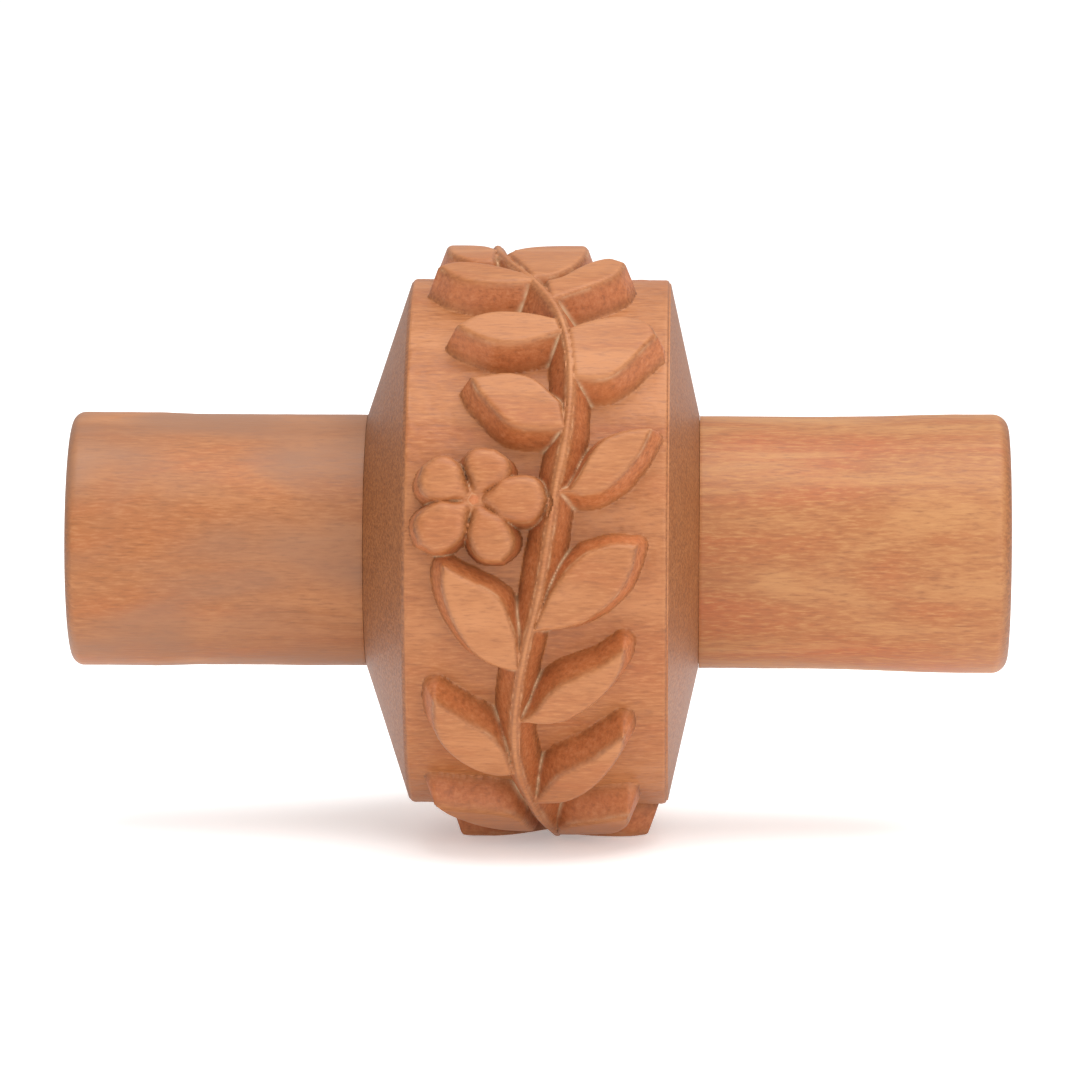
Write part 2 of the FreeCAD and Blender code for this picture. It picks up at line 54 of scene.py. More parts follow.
# ------------------------------------------------------------------ sizes, in mm
GROUND, TOP = 19.65, 22.2
RISE = TOP - GROUND
TURN = 7.0                            # the drawing's zero sits this many degrees above the front
PER_DEG = math.pi / 180.0 * TOP

LEAVES = {
    "r01": ([(-2.4, 75.5), (-1.6, 80.0), (-0.2, 84.0), (1.6, 87.0)],
            [(-0.4, 62.0), (1.0, 62.8), (2.3, 66.0), (3.0, 70.0), (3.4, 75.0), (3.5, 80.5)], (3.4, 87.5)),
    "r02": ([(0.6, 60.5), (1.8, 62.4), (2.9, 66.4), (4.1, 70.2), (5.2, 71.8)],
            [(1.0, 53.5), (2.0, 55.0), (2.8, 56.4), (4.1, 58.9), (5.0, 60.9), (5.9, 64.0)], (6.3, 69.4)),
    "r03": ([(2.3, 44.8), (3.4, 46.4), (4.6, 47.6), (5.9, 48.3), (7.2, 47.7), (8.2, 46.0)],
            [(2.8, 32.6), (4.1, 32.4), (5.2, 32.8), (6.0, 34.2), (6.8, 36.4), (7.5, 38.9), (8.1, 41.2)], (8.7, 43.3)),
    "r04": ([(2.6, 9.8), (3.3, 12.6), (4.1, 16.6), (4.9, 19.2), (6.0, 20.8), (7.3, 21.6)],
            [(1.6, 9.4), (2.8, 9.2), (4.1, 9.0), (5.2, 10.0), (6.2, 12.3), (7.0, 14.8), (7.7, 17.5)], (8.4, 21.7)),
    "r05": ([(1.2, -10.2), (2.0, -7.0), (2.8, -4.5), (3.8, -2.4), (4.9, -1.2), (6.1, -0.6)],
            [(0.0, -17.1), (1.0, -16.8), (2.1, -16.5), (3.3, -15.6), (4.5, -13.8), (5.6, -11.2), (6.5, -8.2), (7.1, -4.7)], (7.4, -0.9)),
    "r06": ([(0.1, -34.6), (1.0, -31.0), (2.0, -28.4), (3.4, -26.4), (4.8, -24.6), (5.8, -22.6)],
            [(-0.9, -36.8), (0.1, -37.1), (1.3, -37.1), (2.3, -36.4), (3.4, -34.4), (4.3, -32.4), (5.1, -30.2), (5.9, -27.2), (6.4, -24.0)], (6.5, -21.2)),
    "r07": ([(0.2, -59.7), (0.9, -55.8), (1.7, -51.9), (2.8, -49.2), (4.2, -46.6), (5.3, -43.6)],
            [(-0.3, -61.0), (0.7, -61.3), (2.0, -60.8), (3.0, -59.0), (3.9, -56.4), (4.6, -53.6), (5.3, -50.2), (5.9, -47.0), (6.4, -43.6)], (6.5, -40.4)),
    "r08": ([(1.7, -75.5), (2.4, -73.3), (3.4, -71.6), (4.6, -70.2), (5.6, -68.8)],
            [(1.2, -86.0), (2.4, -86.5), (3.8, -85.0), (5.1, -82.0), (6.2, -77.5), (6.8, -72.0)], (6.8, -67.4)),
    "r09": ([(1.2, -97.2), (2.4, -93.4), (3.8, -91.4), (5.4, -90.4), (7.0, -90.8)],
            [(1.0, -107.2), (2.4, -108.2), (4.0, -107.4), (5.6, -105.2), (6.9, -101.8), (7.8, -97.8)], (8.2, -93.4)),
    "l01": ([(-3.3, 79.5), (-4.0, 84.0), (-5.0, 87.2), (-6.0, 88.6)],
            [(-3.4, 70.0), (-4.2, 69.6), (-5.4, 70.6), (-6.4, 74.0), (-6.9, 79.0)], (-7.0, 86.5)),
    "l02": ([(-1.2, 63.8), (-2.2, 65.6), (-3.2, 67.2), (-4.4, 68.6), (-5.6, 69.2), (-6.6, 68.8)],
            [(-0.2, 60.6), (-1.2, 60.0), (-2.6, 59.7), (-4.0, 59.8), (-5.2, 60.6), (-6.3, 62.4)], (-7.4, 66.6)),
    "l03": ([(1.4, 47.6), (0.2, 48.7), (-1.0, 49.4), (-2.6, 49.7), (-3.8, 49.1), (-4.8, 47.8)],
            [(1.8, 44.2), (1.0, 43.1), (0.0, 42.0), (-1.0, 41.2), (-2.0, 40.9), (-3.0, 41.2), (-4.0, 42.2), (-4.9, 43.6)], (-5.8, 45.6)),
    "l04": ([(1.8, 27.2), (1.0, 29.4), (0.1, 31.8), (-1.0, 33.2), (-2.2, 33.6), (-3.4, 33.2)],
            [(2.2, 21.6), (0.8, 21.4), (-0.8, 21.6), (-1.9, 22.6), (-2.8, 25.0), (-3.6, 27.6), (-4.2, 29.8)], (-4.7, 32.6)),
    "l05": ([(-1.3, -18.6), (-1.7, -15.5), (-2.1, -12.5), (-2.8, -10.3), (-3.9, -8.6), (-5.1, -7.0)],
            [(-1.1, -25.2), (-2.4, -24.6), (-3.6, -23.1), (-4.6, -20.8), (-5.4, -17.6), (-6.0, -14.2), (-6.4, -11.0), (-6.6, -8.0)], (-6.5, -4.9)),
    "l06": ([(-1.9, -47.5), (-2.2, -44.6), (-2.9, -41.4), (-3.9, -38.9), (-5.0, -36.8), (-6.1, -34.6)],
            [(-1.6, -51.2), (-2.7, -51.4), (-4.0, -50.2), (-5.0, -48.2), (-6.0, -45.4), (-6.8, -42.0), (-7.2, -38.4), (-7.3, -35.2)], (-7.2, -32.2)),
    "l07": ([(-1.0, -69.6), (-1.7, -67.2), (-2.8, -65.6), (-4.2, -64.6), (-5.6, -63.9)],
            [(-0.2, -78.0), (-1.4, -77.8), (-2.8, -76.5), (-4.2, -73.6), (-5.4, -70.2), (-6.5, -66.8)], (-7.4, -62.8)),
}
FAR = [
    ("r10", 1, 1.6, -131.0, 6.0, 15.5, 13.0), ("r11", 1, 2.4, -153.0, 5.6, 16.0, 12.5),
    ("r12", 1, -0.2, -219.0, 6.6, 15.0, 12.5), ("r13", 1, -1.5, -240.5, 6.6, 14.5, 12.5),
    ("r14", 1, -2.6, -260.5, 7.0, 13.0, 12.0), ("l08", -1, 1.3, -103.0, 7.0, 14.0, 12.5),
    ("l09", -1, 1.6, -125.5, 6.6, 15.0, 12.5), ("l10", -1, 2.2, -147.5, 6.8, 15.5, 12.5),
    ("l11", -1, 2.6, -169.5, 6.6, 15.0, 12.0), ("l12", -1, 2.4, -191.5, 6.8, 15.5, 12.5),
    ("l13", -1, 0.6, -213.5, 6.2, 15.0, 12.5), ("l14", -1, -1.2, -235.0, 5.6, 14.0, 12.0),
    ("l15", -1, -2.6, -255.5, 5.0, 12.0, 11.0),
]
STEM = [(80, -3.1), (70, -2.2), (60, -0.2), (50, 1.5), (40, 2.35), (30, 2.55), (20, 2.25), (10, 1.55),
        (0, 1.0), (-10, 0.4), (-20, -0.5), (-30, -1.15), (-40, -1.45), (-50, -1.2), (-60, -0.4),
        (-70, 0.4), (-80, 1.3), (-90, 1.45), (-105, 1.3), (-120, 1.6), (-135, 2.1), (-150, 2.55),
        (-165, 2.7), (-180, 2.5), (-195, 1.9), (-210, 0.8), (-225, -0.5), (-240, -1.8), (-255, -2.8),
        (-268, -3.25)]
FLOWERS = [
    ("front", -4.35, 7.9, [(147, 4.35, 1.55), (69, 3.95, 1.6), (1, 5.2, 1.6), (-66, 4.9, 1.45), (-140, 5.0, 1.6)]),
    ("far", 5.0, -186.0, [(33, 4.2, 1.5), (108, 4.2, 1.55), (180, 4.6, 1.5), (-108, 4.4, 1.5), (-36, 4.2, 1.5)]),
]


def far_leaf(side, bx, bp, length, climb, width):
    upper, lower = [], []
    for s in (0.06, 0.24, 0.42, 0.6, 0.76, 0.9):
        x = bx + side * length * s
        mid = bp + climb * (s ** 1.15)
        half = 0.5 * width * (math.sin(math.pi * min(1.0, 0.12 + 0.88 * s)) ** 0.8)
        upper.append((x, mid + 0.85 * half))
        lower.append((x, mid - 1.0 * half))
    return upper, lower, (bx + side * length, bp + climb)


for _n, *_a in FAR:
    LEAVES[_n] = far_leaf(*_a)


def smooth_line(points, steps=8):
    """Points through the given ones on a Catmull-Rom curve."""
    p = np.array(points, float)
    p = np.vstack([2 * p[0] - p[1], p, 2 * p[-1] - p[-2]])
    out = []
    for i in range(1, len(p) - 2):
        a, b, c, d = p[i - 1], p[i], p[i + 1], p[i + 2]
        for t in np.linspace(0, 1, steps, endpoint=False):
            out.append(0.5 * (2 * b + (c - a) * t + (2 * a - 5 * b + 4 * c - d) * t * t + (3 * b - a - 3 * c + d) * t ** 3))
    out.append(p[-2])
    return np.array(out)


def loops():
    """Every raised outline as (name, kind, closed loop of (x, v) in mm)."""
    for name, (upper, lower, tip) in LEAVES.items():
        u = smooth_line([(x, p * PER_DEG) for x, p in list(upper) + [tip]])
        lo = smooth_line([(x, p * PER_DEG) for x, p in list(lower) + [tip]])
        yield name, "leaf", np.vstack([u, lo[::-1][1:]])
    for name, fx, fp, petals in FLOWERS:
        fv = fp * PER_DEG
        for j, (way, length, half) in enumerate(petals):
            a = math.radians(way)
            shape = [(0.55, 0.22), (1.3, 0.66), (2.2, 1.12 * half / 1.25), (0.74 * length, half),
                     (0.91 * length, 0.70 * half), (length, 0.0)]
            up = smooth_line(shape)
            ring = np.vstack([up, (up * [1, -1])[::-1][1:]])
            c, s = math.cos(a), math.sin(a)
            yield "%s%d" % (name, j), "petal", np.c_[fx + ring[:, 0] * c - ring[:, 1] * s, fv + ring[:, 0] * s + ring[:, 1] * c]


def distance_to(px, pv, line, closed):
    """Distance of grid points to a polyline, negative inside a closed one."""
    a = line
    b = np.roll(line, -1, 0) if closed else line[1:]
    a = a if closed else a[:-1]
    best = np.full(px.shape, 1e9)
    inside = np.zeros(px.shape, bool)
    for (ax, av), (bx, bv) in zip(a, b):
        ex, ev = bx - ax, bv - av
        L2 = ex * ex + ev * ev
        if L2 < 1e-12:
            continue
        t = np.clip(((px - ax) * ex + (pv - av) * ev) / L2, 0, 1)
        d = (px - ax - t * ex) ** 2 + (pv - av - t * ev) ** 2
        np.minimum(best, d, out=best)
        if closed:
            hit = ((av > pv) != (bv > pv)) & (px < (bx - ax) * (pv - av) / (bv - av + 1e-30) + ax)
            inside ^= hit
    best = np.sqrt(best)
    return np.where(inside, -best, best) if closed else best


def value_noise(x, y, seed, period=None):
    """Smooth noise from -1 to 1 on a hashed lattice, repeating every `period` cells in y."""
    xi, yi = np.floor(x).astype(np.int64), np.floor(y).astype(np.int64)
    fx, fy = x - xi, y - yi
    fx, fy = fx * fx * (3 - 2 * fx), fy * fy * (3 - 2 * fy)

    def h(i, j):
        if period:
            j = np.mod(j, period)
        n = (i * 374761393 + j * 668265263 + seed * 974634777) & 0x7fffffff
        n = ((n ^ (n >> 13)) * 1274126177) & 0x7fffffff
        return ((n ^ (n >> 16)) & 0xffff) / 32767.5 - 1.0
    return ((h(xi, yi) * (1 - fx) + h(xi + 1, yi) * fx) * (1 - fy)
            + (h(xi, yi + 1) * (1 - fx) + h(xi + 1, yi + 1) * fx) * fy)


# ------------------------------------------------------------------ the wheel's rim as a height field
NT = 1216       # steps round the rim
NX = 184         # steps across the band
X_LEFT, X_RIGHT = -9.30, 9.38          # the height field's share of the band; the corners are turned
WRAP = 360.0 * PER_DEG


def rim_heights():
    xs = np.linspace(X_LEFT, X_RIGHT, NX)
    vs = (np.arange(NT) / NT) * WRAP - 0.5 * WRAP           # v = 0 is the drawing's zero
    X, V = np.meshgrid(xs, vs)                              # rows go round
    wall = np.full(X.shape, 9.0)                            # how far down the wall, 0 at the arris, 1 at the foot
    depth = np.full(X.shape, 9.0)                           # distance outside the nearest outline
    lean = np.zeros(X.shape)
    floor_up = np.full(X.shape, -9.0)                       # ground raised inside the flowers
    second = np.full(X.shape, 9.0)                          # how far down the wall of the next nearest feature
    quiet = np.ones(X.shape)                                # no fuzz in the very middle of a flower
    step = vs[1] - vs[0]

    def window(v0, v1, margin):
        i0 = int(math.floor((v0 - margin - vs[0]) / step))
        i1 = int(math.ceil((v1 + margin - vs[0]) / step))
        idx = np.arange(i0, i1 + 1)
        turns = np.floor_divide(idx, NT)
        return idx - turns * NT, turns * WRAP

    for name, kind, loop in loops():
        rows, shift = window(loop[:, 1].min(), loop[:, 1].max(), 2.2)
        px = X[rows]
        pv = V[rows] + shift[:, None]
        d = distance_to(px, pv, loop, True)
        if kind == "petal":
            d = d - 0.14                                    # petals nearly touch one another
        width = 0.40 if kind == "petal" else 0.80
        # walls stand a little unevenly, as a cutter leaves them
        width = width * (1.0 + 0.10 * value_noise(px * 0.9, pv * 0.9, 7))
        nearer = d / width <= wall[rows]
        second[rows] = np.minimum(second[rows], np.maximum(wall[rows], d / width))
        wall[rows] = np.minimum(wall[rows], d / width)
        depth[rows] = np.minimum(depth[rows], d)
        if kind == "petal":
            fx, fv = (FLOWERS[0][1], FLOWERS[0][2] * PER_DEG) if name.startswith("front") else (FLOWERS[1][1], FLOWERS[1][2] * PER_DEG)
            r = np.hypot(px - fx, pv - fv)
            # each petal is a low cushion that dips towards the middle of the flower
            dish = 0.42 * np.exp(-(r / 1.3) ** 2) + 0.30 * (1 - np.clip(-d / 0.85, 0, 1)) ** 2
            lean[rows] = np.where(nearer & (d < 0.5), dish, lean[rows])
            # the grooves between the petals run out shallow in the middle
            web = RISE - 0.55 - 0.16 * r ** 2
            floor_up[rows] = np.maximum(floor_up[rows], np.where(r < 3.6, web, -9.0))
            quiet[rows] = np.minimum(quiet[rows], np.where(d < 2.0, np.clip((r - 0.5) / 0.5, 0, 1), 1.0))
        else:
            # leaf tops are a touch lower towards their stem and slightly hollow between their edges
            lean[rows] = np.where(nearer & (d < 0.2), 0.03 * np.clip(-d / 1.5, 0, 1), lean[rows])

    # stem: once round, closed
    pts = sorted([(p, x) for p, x in STEM])
    ext = [(p + k * 360.0, x) for k in (-1, 0, 1) for p, x in pts]
    line = smooth_line([(x, p * PER_DEG) for p, x in ext], 6)
    k = (line[:, 1] > -0.5 * WRAP - 6) & (line[:, 1] < 0.5 * WRAP + 6)
    line = line[k]
    block = 64
    for r0 in range(0, NT, block):
        rows = np.arange(r0, min(NT, r0 + block))
        near = (line[:, 1] > vs[rows[0]] - 5) & (line[:, 1] < vs[rows[-1]] + 5)
        d = distance_to(X[rows], V[rows], line[near], False)
        half = 0.27 * (1.0 + 0.18 * value_noise(X[rows] * 0.3, V[rows] * 0.5, 3))
        d = d - half
        w = 1.15 * (1.0 + 0.08 * value_noise(X[rows] * 0.7, V[rows] * 0.7, 11))
        second[rows] = np.minimum(second[rows], np.maximum(wall[rows], d / w))
        wall[rows] = np.minimum(wall[rows], d / w)
        depth[rows] = np.minimum(depth[rows], d)

    w = np.clip(wall, -3, 4)
    # wall profile: a hair of rounding at the arris, a straight cut, a small fillet at the foot
    t = np.clip(w, 0, 1.12) / 1.12
    cut = t + 0.06 * np.sin(2 * np.pi * t) * 0.5
    foot = np.where(t > 0.86, 1 - (1 - 0.86) * ((1 - t) / (1 - 0.86)) ** 1.6, t)
    cut = 0.35 * cut + 0.65 * foot
    # worn edge, rounded over about a third of a millimetre inside the outline
    inside = np.clip(-depth / 0.42, 0, 1)
    arris = 0.23 * (1 - np.sqrt(np.clip(1 - (1 - inside) ** 2, 0, 1)))
    height = RISE * (1 - np.clip(cut, 0, 1))
    height = np.where(w <= 0, RISE - arris, np.minimum(height, RISE - 0.23))
    height = height - lean * np.clip(1 - np.clip(w, 0, 1), 0, 1)
    height = np.maximum(height, floor_up)
    # the cleared ground keeps faint flats where the cutter went round
    ground = 0.035 * value_noise(X * 0.8, V * 0.8, 21, None) + 0.018 * value_noise(X * 2.6, V * 2.6, 22)
    seam = 0.5 + 0.5 * np.cos(2 * np.pi * (V + 0.5 * WRAP) / WRAP)
    height = height + ground * np.clip(t, 0, 1) * (1 - 0.5 * seam ** 40)
    edge = np.minimum(X - X_LEFT, X_RIGHT - X)
    height = height * np.clip(edge / 0.10, 0, 1) ** 0.5
    groove = quiet * np.exp(-((second - wall) / 0.20) ** 2) * np.clip((w - 0.10) / 0.15, 0, 1) * np.clip((1.25 - w) / 0.2, 0, 1)
    return xs, vs, GROUND + height, w, groove


def lathe_rows():
    """The wheel's turned rows as (x, r) from the left bore mouth out, over and back to the right bore mouth."""
    bore, waist, a = 3.225, 9.44, 0.02
    seat, boss, long = 9.15, 8.35, 0.8
    left, right = [], []
    # left shoulder, from its boss up to the band's corner
    x0, x1 = -12.93, -9.55
    left += [(x0 - long, bore)]
    left += [(x0 - long, r) for r in np.linspace(bore + 0.25, boss, 6)]
    left += [(x0 - long * (1 - t), boss + (seat - boss) * t) for t in (0.25, 0.5, 0.75, 1.0)]
    left += [(x0, 0.5 * (seat + waist - a)), (x0, waist - a)]
    n = 34
    for i in range(n + 1):
        t = i / n
        left.append((x0 + a * 0.3 + (x1 - x0 - 0.10) * t, waist + 0.04 + (GROUND - waist - 0.30) * t))
    for k in range(1, 5):
        ang = k / 4.0
        left.append((x1 + 0.02 + 0.23 * (1 - math.cos(ang * math.pi / 2)), GROUND - 0.22 + 0.22 * math.sin(ang * math.pi / 2)))
    x0, x1 = 11.95, 9.65
    for k in range(3, -1, -1):
        ang = k / 4.0
        right.append((x1 - 0.02 - 0.23 * (1 - math.cos(ang * math.pi / 2)), GROUND - 0.22 + 0.22 * math.sin(ang * math.pi / 2)))
    for i in range(n, -1, -1):
        t = i / n
        right.append((x0 - a * 0.3 + (x1 - x0 + 0.10) * t, waist + 0.04 + (GROUND - waist - 0.30) * t))
    right += [(x0, waist - a), (x0, 0.5 * (seat + waist - a))]
    right += [(x0 + long * (1 - t), boss + (seat - boss) * t) for t in (1.0, 0.75, 0.5, 0.25)]
    right += [(x0 + long, r) for r in np.linspace(boss, bore + 0.25, 6)]
    right += [(x0 + long, bore)]
    return left, right


def make_mesh(name, verts, faces, smooth_deg=40.0):
    me = bpy.data.meshes.new(name)
    me.from_pydata(verts.tolist(), [], faces.tolist())
    me.update()
    o = bpy.data.objects.new(name, me)
    bpy.context.scene.collection.objects.link(o)
    me.shade_smooth()
    me.set_sharp_from_angle(angle=math.radians(smooth_deg))
    return o


def ring_point(x, r, theta):
    """theta is measured from the front (-Y) upwards."""
    return np.stack([x, -np.cos(theta) * r, np.sin(theta) * r], -1)


def build_wheel():
    xs, vs, R, w, groove = rim_heights()
    theta = np.radians(vs / PER_DEG + TURN)
    # the three shallow hollows that the wheel rests between
    for at in (-102.0, -90.0, -78.0):
        off = np.radians((np.degrees(theta) - at + 180.0) % 360.0 - 180.0)
        near = np.abs(off) < 0.12
        reach = 89.34 * np.cos(off) - np.sqrt(np.maximum(67.3 ** 2 - (89.34 * np.sin(off)) ** 2, 0))
        R = np.where(near[:, None], np.minimum(R, reach[:, None]), R)
    left, right = lathe_rows()
    cols = []
    turned = value_noise(np.arange(200) * 0.9, np.zeros(200), 5)
    for i, (x, r) in enumerate(left):
        rr = r + (0.012 * turned[i] if r > 5 else 0)
        cols.append(ring_point(np.full(NT, x), np.full(NT, rr), theta))
    for j in range(NX):
        cols.append(ring_point(np.full(NT, xs[j]), R[:, j], theta))
    for i, (x, r) in enumerate(right):
        rr = r + (0.012 * turned[i + 60] if r > 5 else 0)
        cols.append(ring_point(np.full(NT, x), np.full(NT, rr), theta))
    V = np.concatenate(cols) * MM
    n = len(cols)
    i = np.arange(NT)
    i2 = (i + 1) % NT
    faces = []
    for c in range(n):
        c2 = (c + 1) % n
        faces.append(np.stack([c * NT + i, c * NT + i2, c2 * NT + i2, c2 * NT + i], -1))
    F = np.concatenate(faces)
    o = make_mesh("pattern_wheel_carved", V, F, 42.0)
    # what the material needs to know about each point: 1 on a raised top, 0 on the ground, and the walls between
    h = np.zeros(len(V), np.float32)
    wall = np.zeros(len(V), np.float32)
    seam = np.zeros(len(V), np.float32)
    band0 = len(left) * NT
    seam[band0:band0 + groove.size] = groove.T.reshape(-1)
    t = np.clip(w, 0, 1.12) / 1.12
    hh = (1 - t).T.reshape(-1)
    wl = np.exp(-((np.clip(w, -2, 3) - 0.55) / 0.42) ** 4).T.reshape(-1)
    h[band0:band0 + len(hh)] = hh
    wall[band0:band0 + len(wl)] = wl
    for key, arr in (("raised", h), ("wall", wall), ("groove", seam)):
        at = o.data.attributes.new(key, "FLOAT", "POINT")
        at.data.foreach_set("value", arr)
    return o


def build_grip(name, side):
    """A turned grip with its end rounded, a broken arris by the wheel and its blind socket."""
    if side < 0:
        mouth, rad, end, mid, full, rnd = 12.945, 9.44, 9.53, 25.2, 29.0, 0.9
    else:
        mouth, rad, end, mid, full, rnd = 11.965, 9.47, 9.71, 21.0, 32.0, 1.2
    rows = [(28.6, 0.0), (28.6, 1.6), (28.6, 3.175), (20.0, 3.175), (mouth + 0.8, 3.175)]
    rows += [(mouth + 0.8, r) for r in np.linspace(3.9, 8.35, 6)]
    rows += [(mouth + 0.8 * (1 - t), 8.35 + 0.8 * t) for t in (0.25, 0.5, 0.75, 1.0)]
    rows += [(mouth, 9.28), (mouth, rad - 0.02), (mouth + 0.006, rad - 0.006), (mouth + 0.02, rad)]
    for x in np.linspace(mouth + 0.30, 35.1 - rnd, 60):
        t = np.clip((x - mid) / (full - mid), 0, 1)
        t = t * t * (3 - 2 * t)
        rows.append((x, rad + (end - rad) * t))
    for k in range(1, 11):
        a = k / 10.0 * math.pi / 2
        rows.append((35.1 - rnd + rnd * math.sin(a), end - rnd + rnd * math.cos(a)))
    for r in np.linspace(end - rnd - 0.7, 0.9, 9):
        rows.append((35.1 - 0.03 * (1 - r / end) * 0, r))
    rows.append((35.1, 0.0))
    n = 288
    th = np.linspace(0, 2 * np.pi, n, endpoint=False)
    verts, index = [], []
    for x, r in rows:
        if r == 0.0:
            index.append([len(verts)])
            verts.append((side * x * MM, 0.0, 0.0))
            continue
        # hand-sanded: a few hundredths of a millimetre out of true
        on_skin = r > 5 and x > mouth
        wob = 0.0
        if on_skin:
            wob = (0.016 * value_noise(np.full(n, x * 0.35), th / (2 * np.pi) * 9, 31 + side, 9)
                   + 0.008 * value_noise(np.full(n, x * 1.7), th / (2 * np.pi) * 25, 41 + side, 25))
        rr = r + wob * (1 if r > rad - 0.01 else 0.4)
        p = ring_point(np.full(n, side * x), np.zeros(n) + rr, th) * MM
        index.append(list(range(len(verts), len(verts) + n)))
        verts += [tuple(q) for q in p]
    faces = []
    for a, b in zip(index[:-1], index[1:]):
        for k in range(n):
            k2 = (k + 1) % n
            if len(a) == 1:
                f = (a[0], b[k], b[k2])
            elif len(b) == 1:
                f = (a[k], b[0], a[k2])
            else:
                f = (a[k], b[k], b[k2], a[k2])
            faces.append(f if side > 0 else tuple(reversed(f)))
    me = bpy.data.meshes.new(name)
    me.from_pydata(verts, [], faces)
    me.update()
    o = bpy.data.objects.new(name, me)
    bpy.context.scene.collection.objects.link(o)
    me.shade_smooth()
    me.set_sharp_from_angle(angle=math.radians(35))
    return o


# ------------------------------------------------------------------ materials
class Nodes:
    def __init__(self, name):
        self.m = bpy.data.materials.new(name)
        self.m.use_nodes = True
        self.t = self.m.node_tree
        self.bsdf = self.t.nodes["Principled BSDF"]
        self.coord = self.t.nodes.new("ShaderNodeTexCoord").outputs["Object"]

    def link(self, a, b):
        self.t.links.new(a, b)

    def scaled(self, sx, sy, sz, turn=(0, 0, 0), loc=(0, 0, 0)):
        n = self.t.nodes.new("ShaderNodeMapping")
        n.inputs["Scale"].default_value = (sx, sy, sz)
        n.inputs["Rotation"].default_value = turn
        n.inputs["Location"].default_value = loc
        self.link(self.coord, n.inputs["Vector"])
        return n.outputs[0]

    def noise(self, vec, scale=1.0, detail=3.0, rough=0.5, dist=0.0):
        n = self.t.nodes.new("ShaderNodeTexNoise")
        n.inputs["Scale"].default_value = scale
        n.inputs["Detail"].default_value = detail
        n.inputs["Roughness"].default_value = rough
        n.inputs["Distortion"].default_value = dist
        self.link(vec, n.inputs["Vector"])
        return n.outputs["Fac"]

    def ramp(self, fac, stops):
        n = self.t.nodes.new("ShaderNodeValToRGB")
        e = n.color_ramp.elements
        while len(e) < len(stops):
            e.new(0.5)
        for k, (p, c) in enumerate(stops):
            e[k].position = p
            e[k].color = (*c, 1) if len(c) == 3 else c
        self.link(fac, n.inputs["Fac"])
        return n.outputs["Color"]

    def span(self, fac, a, b, lo=0.0, hi=1.0):
        n = self.t.nodes.new("ShaderNodeMapRange")
        n.inputs["From Min"].default_value = a
        n.inputs["From Max"].default_value = b
        n.inputs["To Min"].default_value = lo
        n.inputs["To Max"].default_value = hi
        self.link(fac, n.inputs["Value"])
        return n.outputs["Result"]

    def math(self, op, a, b=None):
        n = self.t.nodes.new("ShaderNodeMath")
        n.operation = op
        for k, v in enumerate((a, b)):
            if v is None:
                continue
            if isinstance(v, (int, float)):
                n.inputs[k].default_value = v
            else:
                self.link(v, n.inputs[k])
        return n.outputs[0]

    def mix(self, fac, a, b, blend="MIX"):
        n = self.t.nodes.new("ShaderNodeMix")
        n.data_type = "RGBA"
        n.blend_type = blend
        for name, v in (("Factor", fac),):
            if isinstance(v, (int, float)):
                n.inputs[0].default_value = v
            else:
                self.link(v, n.inputs[0])
        for k, v in ((6, a), (7, b)):
            if isinstance(v, tuple):
                n.inputs[k].default_value = (*v, 1)
            else:
                self.link(v, n.inputs[k])
        return n.outputs[2]

    def attribute(self, name):
        n = self.t.nodes.new("ShaderNodeAttribute")
        n.attribute_name = name
        return n.outputs["Fac"]

    def bump(self, height, strength, distance, after=None):
        n = self.t.nodes.new("ShaderNodeBump")
        n.inputs["Strength"].default_value = strength
        n.inputs["Distance"].default_value = distance
        self.link(height, n.inputs["Height"])
        if after is not None:
            self.link(after, n.inputs["Normal"])
        return n.outputs["Normal"]


